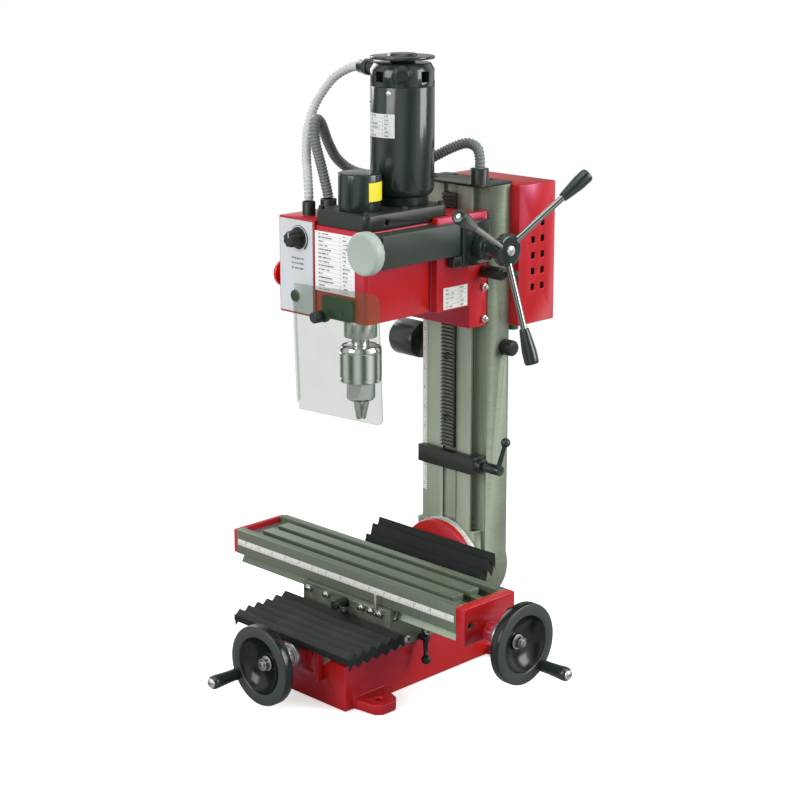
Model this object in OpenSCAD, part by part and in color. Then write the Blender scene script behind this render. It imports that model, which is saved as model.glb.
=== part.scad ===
// Benchtop milling and drilling machine. Millimetres, +Z up, +Y away from the operator.
// The spindle's axis stands at X = 0, Y = 0 and the base's foot lies at Z = 0.

/* [Table] */
// length of the table
table_len = 390; // [300:5:450]
// width of the table
table_w = 87; // [80:1:92]
// height of the table's top above the foot
table_top = 140; // [136:1:144]
// table's centre along X, as stored
table_x = -16.5; // [-40:0.5:40]
// table's centre along Y, as stored
table_y = 22.5; // [18:0.5:27]
// width of a T-slot's neck
slot_neck = 10; // [8:0.5:12]
// distance between T-slots
slot_pitch = 27; // [24:1:30]

/* [Base] */
// half width of the base
base_hw = 73; // [68:1:78]
// height of the base's side walls
base_h = 57; // [52:1:58]
// place of the rear feet along Y
rear_foot_y = 172; // [168:1:174]
// bolt hole radius in each foot
foot_hole_r = 5.5; // [4:0.5:7]

/* [Column] */
// top of the column
column_top = 597; // [580:1:640]
// half width of the column's dovetail face
dove_hw = 41.4; // [38:0.1:43]
// half width of the column's body
column_hw = 55.5; // [50:0.5:60]
// height of the tilting pivot
pivot_z = 105; // [100:1:110]

/* [Head] */
// bottom of the head's arm
head_z = 452.8; // [440:0.1:470]
// half width of the head's arm
arm_hw = 44; // [40:0.5:48]
// height of the feed pinion's axis
feed_z = 530; // [520:1:535]
// radius of the motor
motor_r = 38.6; // [35:0.1:42]
// radius of the cap over the spindle's top
cap_r = 25.6; // [22:0.1:28]
// top of the motor's shell
motor_top = 723; // [700:1:730]

/* [Wheels] */
// radius of both handwheels
wheel_r = 48.5; // [44:0.5:54]
// length of a feed spoke
spoke_len = 132; // [110:1:140]

/* [Hidden] */
$fn = 48;
e = 0.01;
tz = table_top - 32;          // table's underside
screw_x_z = 101.2;            // table leadscrew's axis
screw_y_z = 58;               // saddle leadscrew's axis
feed_y = 135;                 // feed pinion's axis
mod_r = 1.5;                  // rack module
rack_pitch = PI * mod_r;
motor_y = 71;
plate_b = 562.5;              // motor plate's underside
plate_t = 582;                // motor plate's top

red = [0.68, 0.07, 0.08];
black = [0.05, 0.05, 0.05];
iron = [0.55, 0.56, 0.55];
steel = [0.78, 0.79, 0.80];
white = [0.9, 0.9, 0.88];

// ---------- helpers ----------
module box(x0, x1, y0, y1, z0, z1) translate([x0, y0, z0]) cube([x1 - x0, y1 - y0, z1 - z0]);
module cx(x0, x1, y, z, r) translate([x0, y, z]) rotate([0, 90, 0]) cylinder(h = x1 - x0, r = r);
module cy(y0, y1, x, z, r) translate([x, y0, z]) rotate([-90, 0, 0]) cylinder(h = y1 - y0, r = r);
module cz(z0, z1, x, y, r) translate([x, y, z0]) cylinder(h = z1 - z0, r = r);
// a YZ outline drawn out along X
module along_x(x0, x1) translate([x0, 0, 0]) rotate([90, 0, 90]) linear_extrude(x1 - x0) children();
// an XZ outline drawn out along Y
module along_y(y0, y1) translate([0, y1, 0]) rotate([90, 0, 0]) linear_extrude(y1 - y0) children();
// an XY rectangle with rounded corners, drawn up Z
module rbox(x0, x1, y0, y1, z0, z1, r) translate([0, 0, z0]) linear_extrude(z1 - z0)
  rrect(x0, x1, y0, y1, r);
module rrect(x0, x1, y0, y1, r) {
  translate([x0 + r, y0]) square([x1 - x0 - 2 * r, y1 - y0]);
  translate([x0, y0 + r]) square([x1 - x0, y1 - y0 - 2 * r]);
  for (x = [x0 + r, x1 - r])
    for (y = [y0 + r, y1 - r])
      translate([x, y]) circle(r = r, $fn = 32);
}
// lathe outline [[r, z], ...] turned about an axis along +X, +Y or Z
module turn_x(x, y, z, pts) translate([x, y, z]) rotate([0, 90, 0]) rotate_extrude() polygon(pts);
module turn_y(x, y, z, pts) translate([x, y, z]) rotate([-90, 0, 0]) rotate_extrude() polygon(pts);
module turn_z(x, y, z, pts) translate([x, y, z]) rotate_extrude() polygon(pts);
module hex_z(z0, z1, x, y, r) translate([x, y, z0]) cylinder(h = z1 - z0, r = r, $fn = 6);

// ---------- gears ----------
function inv(a) = tan(a) * 180 / PI - a;
function flank(r, ha, rb) = r <= rb ? ha + inv(20) : ha + inv(20) - inv(acos(rb / r));
function pol(r, a) = [r * cos(a), r * sin(a)];
module gear2d(z, m, phase = 0, slack = 0.12) {
  rp = m * z / 2;
  rb = rp * cos(20);
  rr = rp - 1.15 * m;
  rt = rp + 0.8 * m;
  ha = 90 / z - slack / 2 / rp * 180 / PI;
  radii = [rr, max(rb, rr + 0.2 * m), rp, rt];
  polygon([for (i = [0 : z - 1])
    for (k = [0 : 7])
      let (r = radii[k < 4 ? k : 7 - k], a = flank(r, ha, rb), c = phase + i * 360 / z)
        pol(r, k < 4 ? c - a : c + a)]);
}
// rack teeth point to -Y; a gap stands at the feed pinion's height
rack_lo = feed_z - rack_pitch * 57;
rack_hi = feed_z + rack_pitch * 12;
module rack2d() {
  w = rack_pitch / 4 - 0.06;
  polygon(concat([[154, rack_lo]],
    [for (k = [-57 : 11])
      for (p = [[147.3, -1.8], [144.3, 1.2], [144.3, -1.2], [147.3, 1.8]])
        let (s = p[0] == 147.3 ? 1 : -1, c = feed_z + (k + 0.5) * rack_pitch)
          [p[0], c + sign(p[1] * s) * (w + (p[0] - 145.5) * tan(20))]],
    [[154, rack_hi]]));
}

// ---------- swept conduit ----------
function cat(p, t) = let (n = len(p) - 1, i = min(floor(t), n - 1), u = t - i,
  a = p[max(i - 1, 0)], b = p[i], c = p[i + 1], d = p[min(i + 2, n)])
  0.5 * ((2 * b) + (c - a) * u + (2 * a - 5 * b + 4 * c - d) * u * u
    + (3 * b - a - 3 * c + d) * u * u * u);
function unit(v) = v / norm(v);
function frames(q, i, prev) = i >= len(q) ? []
  : let (t = unit(q[min(i + 1, len(q) - 1)] - q[max(i - 1, 0)]),
      n = unit(prev - (prev * t) * t)) concat([[t, n]], frames(q, i + 1, n));
module tube(ctrl, r, steps, seed) {
  q = [for (k = [0 : steps]) cat(ctrl, k * (len(ctrl) - 1) / steps)];
  f = frames(q, 0, seed);
  s = 10;
  pts = [for (k = [0 : steps])
    for (j = [0 : s - 1])
      q[k] + r * (cos(j * 36) * f[k][1] + sin(j * 36) * cross(f[k][0], f[k][1]))];
  sides = [for (k = [0 : steps - 1])
    for (j = [0 : s - 1])
      [k * s + j, (k + 1) * s + j, (k + 1) * s + (j + 1) % s, k * s + (j + 1) % s]];
  polyhedron(pts, concat(sides, [[for (j = [0 : s - 1]) j]],
    [[for (j = [0 : s - 1]) steps * s + s - 1 - j]]));
}

// ---------- base ----------
module foot(sx, sy, y) translate([0, y, 0]) scale_xy(sx, sy) difference() {
  linear_extrude(13) {
    polygon([[base_hw - 1, -22], [base_hw - 1, 30], [104, 18], [111, 10], [111, -10], [104, -18]]);
  }
  translate([94, 0, -1]) cylinder(h = 15, r = foot_hole_r);
}
module scale_xy(sx, sy) {
  if (sx > 0 && sy > 0) children();
  else if (sx > 0) mirror([0, 1, 0]) children();
  else if (sy > 0) mirror([1, 0, 0]) children();
  else mirror([0, 1, 0]) mirror([1, 0, 0]) children();
}
module dove_base(grow) polygon([[-45 - grow, base_h - 1], [45 + grow, base_h - 1],
  [54 + grow, 73 + grow], [-54 - grow, 73 + grow]]);
module base_casting() color(red) difference() {
  union() {
    box(-base_hw, base_hw, -98, 149.9, 0, base_h);
    along_y(-98, 133) dove_base(0);
    box(-60, 60, 133, 149.9, 0, pivot_z);
    cy(133, 149.9, 0, pivot_z, 60);
    box(-base_hw, base_hw, 149, 199, 0, 30);
    box(-58, 58, 149, 160, 0, 43);
    foot(1, 1, -62);
    foot(-1, 1, -62);
    foot(1, 1, rear_foot_y);
    foot(-1, 1, rear_foot_y);
  }
  box(-17, 17, -99, 122, 36, 74);
  for (x = [-66, 12])
    for (y = [-86, -18, 50])
      box(x, x + 54, y, y + 60, -1, 28);
  cy(132, 151, 0, pivot_z, 10.2);
  for (x = [-26, 26])
    for (z = [44, 66])
      cy(-99, -84, x, z - 2, 2.2);
}
module angle_scale() color(white) difference() {
  intersection() {
    cy(141, 149.8, 0, pivot_z, 60.9);
    along_y(140, 151) polygon([[0, pivot_z], [80, pivot_z + 24], [80, 190], [-80, 190],
      [-80, pivot_z + 24]]);
  }
  cy(140, 151, 0, pivot_z, 60);
}
module tilt_bolt() color(steel) {
  cy(133, 214, 0, pivot_z, 10);
  cy(130, 133, 0, pivot_z, 19);
  translate([0, 130, pivot_z]) rotate([90, 0, 0]) cylinder(h = 12, r = 16, $fn = 6);
  cy(206, 209, 0, pivot_z, 19);
  translate([0, 221, pivot_z]) rotate([90, 0, 0]) cylinder(h = 12, r = 16, $fn = 6);
}
module y_bracket() color(red) difference() {
  union() {
    box(-36, 36, -108, -98, 30, 72.6);
    cy(-112, -108, 0, screw_y_z, 14);
  }
  cy(-119, -97, 0, screw_y_z, 6.06);
  for (x = [-26, 26])
    for (z = [44, 66])
      cy(-109, -97, x, z - 2, 2.2);
}

// bellows: a folded wall under a folded roof, drawn along X
function zig(p, q, n, h) = [for (k = [0 : 2 * n])
  let (d = q - p, l = norm(d), m = [-d[1], d[0]] / l)
    p + d * k / (2 * n) + (k % 2 == 1 ? h : 0) * m];
module fold(path, t, drop) {
  n = len(path) - 1;
  polygon(concat(path, [for (k = [n : -1 : 0]) path[k] - [0, t]]));
}
module bellows(path, drop, thick) {
  along_x(-102, 102) fold(path, thick);
  for (x = [-102, 100.6])
    along_x(x, x + 1.4) fold(path, drop);
}
module bellows_front() color(black) {
  bellows(zig([-118, 79], [-27.6, 83], 6, 6.5), 13, 1.4);
  box(-102, 102, -119.4, -118, 72.8, 81);
  box(-36, 36, -119, -108, 72.8, 74);
}
module bellows_rear() color(black) {
  bellows([[72.6, 90], [76, 98], [82, 93.5], [87, 110], [93, 103.5], [97.5, 121], [103.5, 114],
    [108, 131], [114, 122.5], [119, 142], [126, 131.5], [131.2, 147.5], [132.6, 140]], 13, 2);
}

// ---------- saddle ----------
module dove_table(grow) polygon([[table_y - 36 - grow, 94 - grow], [table_y + 36 + grow, 94 - grow],
  [table_y + 28 + grow, tz + 1], [table_y - 28 - grow, tz + 1]]);
module saddle() color(iron) difference() {
  box(-76.7, 76.7, -27, 72, base_h + 0.6, tz - 0.4);
  along_y(-28, 73) dove_base(0.5);
  along_y(-28, 73) polygon([[44, base_h], [50.4, base_h], [58.4, 73.5], [50, 73.5]]);
  along_x(-77, 77) dove_table(0.5);
  along_x(-77, 77) polygon([[-22.6, 93.5], [-10, 93.5], [0, tz], [-12, tz]]);
  box(-14.6, 14.6, 7.4, 38.6, base_h, 95);
  for (x = [-65, -33, 29, 45.4, 60])
    cy(-28, -10, x, 101, 2.6);
  for (y = [-19.7, -1.4, 33.5, 60])
    cx(50, 78, y, 67, 2.6);
  cy(-28, -10, 0, 100, 3.1);
  cx(50, 78, 25.5, 61.6, 3.1);
}
module saddle_gibs() color(steel) {
  along_x(-76, 76) polygon([[-19.9, 94.4], [-14.9, 94.4], [-7.4, 106.6], [-12.4, 106.6]]);
  along_y(-26, 71) polygon([[46.7, base_h + 0.8], [49.9, base_h + 0.8], [57.5, 72.4], [54.4, 72.4]]);
  for (x = [-65, -33, 29, 45.4, 60]) {
    cy(-33.5, -17, x, 101, 2.5);
    translate([x, -27, 101]) rotate([90, 0, 0]) cylinder(h = 4, r = 5, $fn = 6);
  }
  for (y = [-19.7, -1.4, 33.5, 60]) {
    cx(56, 83, y, 67, 2.5);
    translate([76.8, y, 67]) rotate([0, 90, 0]) cylinder(h = 4, r = 5, $fn = 6);
  }
  box(52, 56, -31, -27, 96, 100);
  box(52.4, 55.6, -30.4, -28.4, 99, 124);
}
module lead_nuts() color([0.75, 0.58, 0.25]) difference() {
  union() {
    box(-14.6, 14.6, 7.4, 38.6, 46, 92);
    box(-12, 12, 15.5, 29.5, 92, 106.4);
  }
  cy(0, 50, 0, screw_y_z, 5.56);
  cx(-20, 20, table_y, screw_x_z, 5.06);
}
module lever_x(x, y, z, dir, len, hub, r = 6.5) {
  cx(x, x + hub, y, z, r);
  translate([x + hub - 5, y, z]) {
    rotate([0, acos(dir[2] / norm(dir)), atan2(dir[1], dir[0])]) {
      cylinder(h = len, r1 = 3.4, r2 = 2.6);
      translate([0, 0, len]) sphere(r = 6);
    }
  }
}
module table_lock() color(black) {
  cy(-28, -18.7, 0, 100, 3);
  cy(-47, -27.6, 0, 100, 6);
  translate([0, -42.7, 100]) rotate([0, 105, 0]) {
    cylinder(h = 15, r1 = 3.2, r2 = 2.6);
    translate([0, 0, 15]) sphere(r = 5);
  }
}
module saddle_lock() color(black) {
  cx(58, 78, 25.5, 61.6, 3);
  lever_x(77.8, 25.5, 61.6, [0.35, -0.3, -1], 26, 12, 4.3);
}

// ---------- table ----------
x0 = table_x - table_len / 2;
x1 = table_x + table_len / 2;
y0 = table_y - table_w / 2;
y1 = table_y + table_w / 2;
module table() color(iron) difference() {
  union() {
    box(x0, x1, y0, y1, tz, table_top);
    along_x(x0, x1) dove_table(0);
  }
  for (k = [-1 : 1]) {
    box(x0 + 10, x1 - 10, table_y + k * slot_pitch - slot_neck / 2,
      table_y + k * slot_pitch + slot_neck / 2, table_top - 15, table_top + 1);
    box(x0 + 10, x1 - 10, table_y + k * slot_pitch - 8.5, table_y + k * slot_pitch + 8.5,
      table_top - 15, table_top - 8);
  }
  box(x0 - 1, x0 + 27, y0 + 12, y1 - 12, table_top - 8, table_top + 1);
  box(x1 - 24, x1 + 1, y0 + 12, y1 - 12, table_top - 8, table_top + 1);
  box(x0 - 1, x1 + 1, table_y - 13, table_y + 13, 93, tz + 4);
  for (y = [y0 + 10, y1 - 10])
    cx(x1 - 16, x1 + 1, y, tz + 9, 2.2);
  along_x(x0 - 1, x1 + 1) polygon([[y0 + 4, tz - 1], [y0 + 4, tz + 1], [y0 + 6, tz + 1],
    [y0 + 6, tz - 1]]);
}
module table_scale() color(white) box(x0 + 3, x1 - 3, y0 - 0.5, y0, tz + 12, tz + 20);
module end_plates() color(red) difference() {
  union() {
    box(x1, x1 + 14, y0, y1, 93.8, table_top);
    cx(x1 + 14, x1 + 26, table_y, screw_x_z, 11.5);
    box(x0 - 7, x0, y0 + 1, y1 - 1, tz - 0.4, table_top - 1);
    cx(x0 - 16, x0, table_y, screw_x_z, 11.5);
  }
  cx(x1 - 1, x1 + 27, table_y, screw_x_z, 6.06);
  cx(x0 - 17, x0 + 1, table_y, screw_x_z, 6.06);
  for (y = [y0 + 10, y1 - 10]) {
    cx(x1 - 1, x1 + 15, y, tz + 9, 2.3);
    cx(x1 + 9, x1 + 15, y, tz + 9, 4.4);
  }
}

// ---------- handwheels ----------
wx = x1 + 49;                 // web of the table's wheel
hx = [0, 27, -33];            // crank handle's foot, from the wheel's axis, table
hy = [-37, 0, -20];           // crank handle's foot, saddle
wheel_pts = [[0, -16], [12, -16], [15, -10], [15, -1], [33, 12], [36, 9.5], [40, 8.5],
  [wheel_r - 1.5, 8.5], [wheel_r, 10], [wheel_r, 20], [wheel_r - 1, 21.5], [36, 21.5],
  [33.5, 19.5], [32.6, 17], [10.6, 4.6], [9.5, 5.4], [9.5, 8], [0, 8]];
module x_wheel() {
  color(black) difference() {
    turn_x(wx, table_y, screw_x_z, wheel_pts);
    cx(wx - 17, wx + 30, table_y, screw_x_z, 5.01);
    translate([wx, table_y, screw_x_z]) rotate([0, 90, 0])
      translate([-hx[2], hx[1], 0]) cylinder(h = 30, r = 3.06);
  }
  color(steel) difference() {
    cx(x1 + 26.4, wx - 12, table_y, screw_x_z, 14.5);
    cx(x1 + 26, wx, table_y, screw_x_z, 5.01);
  }
}
module x_screw() color(steel) {
  cx(x0 - 15, x1 + 26.6, table_y, screw_x_z, 5);
  cx(x0 - 15, x0, table_y, screw_x_z, 6);
  cx(x1, x1 + 26.6, table_y, screw_x_z, 6);
  cx(x1 + 26.6, wx + 17.5, table_y, screw_x_z, 5);
  translate([wx + 9.3, table_y, screw_x_z]) rotate([0, 90, 0]) cylinder(h = 6.2, r = 7.8, $fn = 6);
}
grip_pts = [[3.06, 0], [6.4, 0], [7.4, 3], [7.2, 14], [8.4, 34], [8, 38.5], [3.06, 40]];
module x_handle() color(black) translate([wx, table_y + hx[1], screw_x_z + hx[2]])
  rotate([0, 90, 0]) {
    translate([0, 0, 22]) rotate_extrude() polygon(grip_pts);
    translate([0, 0, 9]) cylinder(h = 54, r = 3);
    translate([0, 0, 62.2]) cylinder(h = 2.6, r = 5.6);
  }
wy = -148;                    // web of the saddle's wheel
module y_wheel() {
  color(black) difference() {
    translate([0, wy, screw_y_z]) rotate([90, 0, 0]) rotate_extrude() polygon(wheel_pts);
    cy(wy - 30, wy + 17, 0, screw_y_z, 5.01);
    translate([hy[0], wy - 30, screw_y_z + hy[2]]) rotate([-90, 0, 0]) cylinder(h = 31, r = 3.06);
  }
  color(steel) difference() {
    union() {
      cy(-124, -112.4, 0, screw_y_z, 14.5);
      cy(wy + 14, -123, 0, screw_y_z, 12);
    }
    cy(wy, -111, 0, screw_y_z, 5.01);
  }
}
module y_screw() color(steel) {
  cy(wy - 17.5, -112.2, 0, screw_y_z, 5);
  cy(-112.2, -97, 0, screw_y_z, 6);
  cy(-97, 108, 0, screw_y_z, 5.5);
  translate([0, wy - 9.3, screw_y_z]) rotate([90, 0, 0]) cylinder(h = 6.2, r = 7.8, $fn = 6);
}
module y_handle() color(black) translate([hy[0], wy, screw_y_z + hy[2]]) rotate([90, 0, 0]) {
  translate([0, 0, 22]) rotate_extrude() polygon(grip_pts);
  translate([0, 0, 9]) cylinder(h = 54, r = 3);
  translate([0, 0, 62.2]) cylinder(h = 2.6, r = 5.6);
}

// ---------- column ----------
module column() color(iron) difference() {
  union() {
    translate([0, 0, 157]) linear_extrude(column_top - 157) polygon([[-dove_hw, 150.6],
      [dove_hw, 150.6], [33.4, 165], [-33.4, 165]]);
    box(-column_hw, column_hw, 165, 205, pivot_z, column_top);
    cy(150.4, 205, 0, pivot_z, 58);
    box(-50, 50, 150.4, 166, pivot_z, 157.1);
  }
  box(-6, 16, 149, 154.2, 161, column_top + 1);
  box(-42, 42, 190, 206, 165, column_top - 12);
  cy(149, 206, 0, pivot_z, 10.06);
  cx(-60, 60, 196, 392, 7.06);
  for (x = [-44, 44])
    cz(column_top - 14, column_top + 1, x, 172, 2.2);
}
module rack() color(steel) difference() {
  along_x(-5, 15) rack2d();
  for (z = [300, 380, 460, 550])
    cy(140, 150, 5, z, 5);
}
module column_scale() color(white) box(-40.6, -33, 150.1, 150.6, 196, column_top - 4);
module top_plate() color([0.25, 0.25, 0.26]) {
  difference() {
    rbox(-57, 57, 149, 208, column_top, column_top + 3, 3);
    for (x = [-44, 44])
      cz(column_top - 1, column_top + 4, x, 172, 2.3);
    cz(column_top - 1, column_top + 4, 44, 160, 8);
    for (x = [-30, 0, 30])
      cz(column_top - 1, column_top + 4, x, 196, 4);
  }
  difference() {
    cz(column_top + 3, column_top + 22, 44, 160, 11.5);
    cz(column_top + 2, column_top + 23, 44, 160, 8);
  }
  for (x = [-44, 44]) {
    cz(column_top - 12, column_top + 3, x, 172, 2);
    cz(column_top + 3, column_top + 6, x, 172, 4.5);
  }
}
module electrics_box() color(red) difference() {
  box(-70, 70, 205, 273, 418.5, 595.5);
  box(-68, 68, 207, 271, 420.5, 593.5);
  for (s = [-1, 1])
    for (k = [0 : 4])
      for (y = [232, 250])
        box(s > 0 ? 67 : -71, s > 0 ? 71 : -67, y - 3, y + 3, 461 + k * 20, 469 + k * 20);
  cz(417, 421, 30, 240, 8);
}
module drive_board() color([0.1, 0.35, 0.2]) {
  for (x = [-45, 45])
    for (z = [445, 565])
      cy(207, 216.5, x, z, 3);
  box(-55, 55, 216, 217.6, 435, 575);
  box(-30, 10, 217, 240, 470, 520);
  for (x = [19, 39])
    cy(217, 250, x, 545, 8);
  difference() {
    cz(404, 420.5, 30, 240, 7.9);
    cz(403, 421, 30, 240, 4);
  }
}
module spring_cup() color(black) difference() {
  union() {
    translate([-118, 185, 381]) rotate([0, 90, 0]) rotate_extrude()
      polygon([[0, 0], [20, 0], [23.5, 4], [23.5, 44], [0, 44]]);
    cx(-75, -column_hw, 196, 392, 13);
  }
  cx(-116, -50, 196, 392, 7.06);
}
module spring_shaft() color(black) {
  cx(-114, 60, 196, 392, 7);
  turn_x(column_hw + 0.4, 196, 392, [[0, 0], [10, 0], [10, 14], [8.5, 16.5], [0, 16.5]]);
}
module stop_bar() color(black) difference() {
  union() {
    box(-39, 57, 139, 150.3, 236, 258);
    box(42.4, 57, 150, 160, 236, 258);
    box(-5.6, 15.6, 150.2, 153.8, 238, 256);
    cx(57, 66, 149, 248, 9);
  }
  cx(43, 67, 149, 248, 4.06);
  box(-41, -32.5, 149.7, 151, 235, 259);
}
module stop_lever() color(black) {
  cx(46, 68, 149, 248, 4);
  lever_x(66.4, 149, 248, [0.32, 0, 1], 40, 28);
}

// ---------- head ----------
module head_casting() color(red) difference() {
  union() {
    rbox(-arm_hw, arm_hw, -32, 80, head_z, plate_b, 5);
    box(-54.5, 54.5, 75.2, 164.3, head_z, 568);
    box(-54.5, 54.5, 132.8, 164.3, 424.6, head_z + 1);
  }
  box(-37, 37, -28, 98, 528, 569);
  box(-45, 45, 75, 105.2, plate_b, 569);
  translate([0, 0, 420]) linear_extrude(150) polygon([[-42.1, 150.1], [42.1, 150.1], [34.2, 164.4],
    [-34.2, 164.4]]);
  translate([0, 0, 420]) linear_extrude(150) polygon([[30, 150.1], [46.4, 150.1], [38.2, 164.4],
    [30, 164.4]]);
  box(-7, 17, 143.4, 151, 420, 570);
  box(-42, -32.5, 149.5, 151, 420, 570);
  cx(-34, 60, feed_y, feed_z, 8.06);
  cx(-8, 18, feed_y, feed_z, 12.6);
  cz(head_z - 1, 529, 0, 0, 21);
  cz(head_z + 2, head_z + 18.2, 0, 0, 26);
  cz(512, 529, 0, 0, 26);
  cz(512, 529, 0, 39, 6.06);
  for (z = [434, 474])
    cx(33, 56, 157, z, 2.6);
  cx(33, 56, 157, 494, 4.06);
  cy(-33, -26.6, 5, 462, 2.6);
}
module motor_plate() color(black) difference() {
  union() {
    rbox(-arm_hw, arm_hw, -32, 105, plate_b, plate_t, 8);
  }
  cz(plate_b - 1, plate_t + 1, 0, 0, 14);
  cz(plate_b - 1, plate_t + 1, 0, motor_y, 12);
  cz(plate_b - 1, plate_b + 8, 0, 39, 6.06);
  cx(38, arm_hw + 1, 2, 571, 3);
}
module motor_shell() color(black) difference() {
  turn_z(0, motor_y, 0, [[0, plate_t], [31, plate_t], [31, 592], [36, 595], [motor_r, 602],
    [motor_r, motor_top], [0, motor_top]]);
  cz(590, 605, 0, motor_y, 28);
  cz(604, motor_top + 1, 0, motor_y, 33.4);
  cz(plate_t - 1, 591, 0, motor_y, 5.06);
}
module motor_cap() color(black) difference() {
  union() {
    turn_z(0, motor_y, 0, [[0, motor_top], [motor_r, motor_top], [motor_r, 742], [34, 750],
      [16, 750], [14, 754.5], [motor_r, 754.5], [motor_r, 758], [18, 758], [16, 761], [0, 761]]);
    for (a = [-45, 135])
      translate([0, motor_y, 738]) rotate([0, 90, a]) {
        translate([0, 0, 20]) cylinder(h = 19.5, r = 11);
        translate([0, 0, 30]) cylinder(h = 11.5, r = 9);
      }
    cx(-72, -30, motor_y, 741, 8);
    cx(-62, -54, motor_y, 741, 10);
  }
  cz(motor_top - 1, 746, 0, motor_y, 30);
  for (a = [0, 45, 90, 225, 270])
    translate([0, motor_y, 729]) rotate([0, 0, a]) box(25, 45, -6, 6, 0, 12);
  cz(745, 756, 0, motor_y, 5.06);
}
module spindle_cap() color(black) difference() {
  turn_z(0, 0, plate_t, [[0, 0], [cap_r, 0], [cap_r, 42.8], [cap_r - 1.2, 44], [0, 44]]);
  cz(plate_t - 1, 622, 0, 0, cap_r - 3);
}
module control_box() {
  color(red) difference() {
    box(-107, -44, -32, 40, 449, 567);
    box(-104.5, -46.7, -33, 37.5, 452, 564.5);
    cz(560, 568, -79, -9, 5);
    cz(560, 568, -68, 13, 6);
    cx(-108, -104, -14, 492, 8.06);
  }
  color(black) difference() {
    union() {
      cz(567, 584, -79, -9, 8);
      cz(567, 586, -68, 13, 10);
    }
    cz(566, 585, -79, -9, 5);
    cz(566, 587, -68, 13, 6.6);
  }
}
module face_plates() color(white) {
  difference() {
    box(-104.5, -46.7, -33.4, -31, 452, 564.5);
    cy(-35, -30, -71.2, 543, 3.06);
  }
  cy(-34.9, -33.4, -78, 471.5, 7);
  box(-43, 24.5, -32.6, -32, 484, 556);
  box(54.5, 55.1, 86, 128, 455.5, 482);
  intersection() {
    difference() {
      cz(664, 692, 0, motor_y, motor_r + 0.5);
      cz(663, 693, 0, motor_y, motor_r);
    }
    box(-20, 20, 25, 60, 660, 700);
  }
  intersection() {
    difference() {
      cz(594, 616, 0, 0, cap_r + 0.5);
      cz(593, 617, 0, 0, cap_r);
    }
    box(18, 40, -8.5, 18, 590, 630);
  }
}
module feed_cover() color(black) difference() {
  union() {
    box(arm_hw, 66, -27, 75, 521, 561);
    box(54.6, 66, 75, 104.9, 521, 561);
  }
  box(arm_hw - 1, 63.6, -24, 74, 523.5, 558.5);
  cy(-28, -23, 58, 542.5, 5.06);
}
module worm_box() color(black) difference() {
  union() {
    box(54.6, 70, 105, 152, 507, 561);
    box(54.6, 66, 92, 105, 507, 520.8);
  }
  cx(54, 71, feed_y, feed_z, 8.06);
}
module head_screws() color(steel) {
  for (z = [434, 474]) {
    cx(42, 62, 157, z, 2.5);
    translate([54.6, 157, z]) rotate([0, 90, 0]) cylinder(h = 4, r = 5, $fn = 6);
  }
  translate([0, 0, 426]) linear_extrude(140) polygon([[42.5, 150.6], [45.7, 150.6], [38.5, 163.9],
    [35.4, 163.9]]);
}
module bearings() color(steel) {
  for (z = [[head_z + 2, head_z + 18], [512, 528]])
    difference() {
      cz(z[0], z[1], 0, 0, 26);
      cz(z[0] - 1, z[1] + 1, 0, 0, 17.06);
    }
}
module guard_bracket() color(black) {
  difference() {
    along_y(-37, -32) rrect(-28, 24, 453.5, 481, 5);
    cy(-38, -31, 5, 462, 2.6);
  }
  cy(-37, -26.8, 5, 462, 2.5);
  cy(-40, -37, 5, 462, 5);
  cy(-47, -36, -20, 457, 3);
  cy(-42.6, -37, -20, 457, 8);
  turn_y(-20, -58.5, 457, [[0, 0], [6, 0], [7, 1.5], [7, 12.7], [0, 12.7]]);
}
module conduit_motor() color([0.6, 0.6, 0.6]) tube([[-73.2, motor_y, 741], [-90, 70.5, 738],
  [-108, 62, 726], [-118, 50, 707], [-120, 38, 689], [-114, 22, 664], [-101, 8, 635],
  [-88, -2, 612], [-80, -8, 592], [-79, -9, 585]], 5.9, 70, [0, 1, 0]);
module conduit_column() color([0.3, 0.3, 0.3]) tube([[-68, 13, 586.9], [-71, 13, 598],
  [-78, 11, 625], [-85, 8, 655], [-90, 13, 678], [-93, 25, 674], [-96, 40, 648], [-96, 56, 626],
  [-88, 78, 610], [-68, 104, 605], [-40, 125, 613], [-10, 139, 631], [8, 150, 642],
  [24, 159, 648], [38, 162, 643], [44, 160.5, 630], [44, 160, column_top + 22.2]], 6.6, 80,
  [0, 1, 0]);
module speed_knob() color(black) {
  cy(-40, -26, -71.2, 543, 3);
  turn_y(-71.2, -50, 543, [[0, 0], [8, 0], [9, 1], [10.5, 14.5], [13.5, 15.4], [13.5, 16.3], [0, 16.3]]);
}
module stop_button() color([0.8, 0.06, 0.05]) {
  cx(-116, -95, -14, 492, 8);
  turn_x(-126, -14, 492, [[0, 0], [10, 0.8], [15, 3], [17, 6], [17, 9], [14, 10], [0, 10]]);
}
// the guard hangs a little to one side on its clamp
module guard() color([0.75, 0.9, 0.8, 0.4]) translate([-20, 0, 457]) rotate([0, -2.5, 0])
  translate([20, 0, -457]) difference() {
  union() {
    along_y(-45, -43) guard_outline();
    translate([-66.4, -35.6, 346]) linear_extrude(136) difference() {
      intersection() {
        circle(r = 9.4);
        translate([-12, -12]) square([12, 12.6]);
      }
      circle(r = 7.4);
    }
  }
  cy(-46, -42, -20, 457, 3.06);
}
module guard_outline() {
  translate([-66.4, 346]) square([143.4 - 8, 136]);
  translate([-66.4, 338]) square([143.4 - 8 - 2, 12]);
  translate([-66.4, 478]) square([143.4 - 16, 14]);
  translate([60, 346]) square([17, 138]);
  translate([69, 346]) circle(r = 8);
  translate([67, 482]) circle(r = 10);
}
module head_lock() color(black) {
  cx(47, 70, 157, 494, 4);
  cx(56, 86, 157, 494, 8);
  lever_x(84, 157, 494, [1, 0, 0.1], 20, 6);
}
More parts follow.
